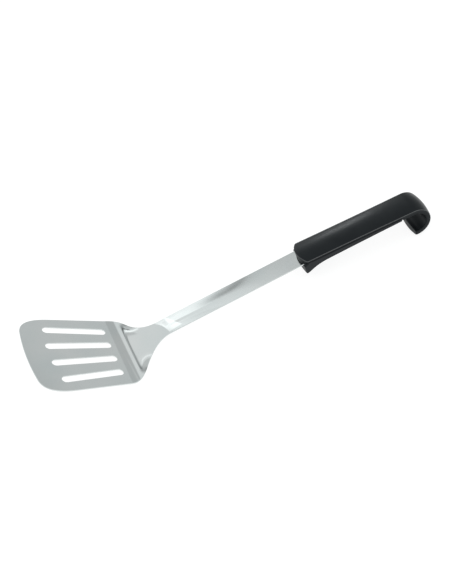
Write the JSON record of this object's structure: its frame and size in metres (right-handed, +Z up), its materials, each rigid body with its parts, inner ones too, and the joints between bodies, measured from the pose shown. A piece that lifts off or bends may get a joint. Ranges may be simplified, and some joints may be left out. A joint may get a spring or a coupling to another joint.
{
  "type": "slotted grill turner",
  "caption": "Steel slotted turner blade and shaft, one stamping, in a black two-part moulded handle that ends in a hanging hook.",
  "frame": {"origin": "on the surface that the turner lies on, midway between the blade's front edge and the back of the hook, in the plane of symmetry", "axes": "+X from the blade to the hook, +Y across the blade, +Z up as the turner lies with the blade's nose raised"},
  "size_m": [0.3554, 0.087, 0.043],
  "materials": {
    "polished_steel": "satin, softly polished stainless",
    "handle_body_plastic": "fine-grained black moulding",
    "handle_cap_plastic": "fine-grained black moulding with a soft sheen",
    "pin_steel": "bright drawn wire"
  },
  "bodies": {
    "root": {"blade_and_shaft": "polished_steel", "handle_body": "handle_body_plastic", "handle_cap": "handle_cap_plastic", "tang_pins": "pin_steel"}
  },
  "joints": []
}
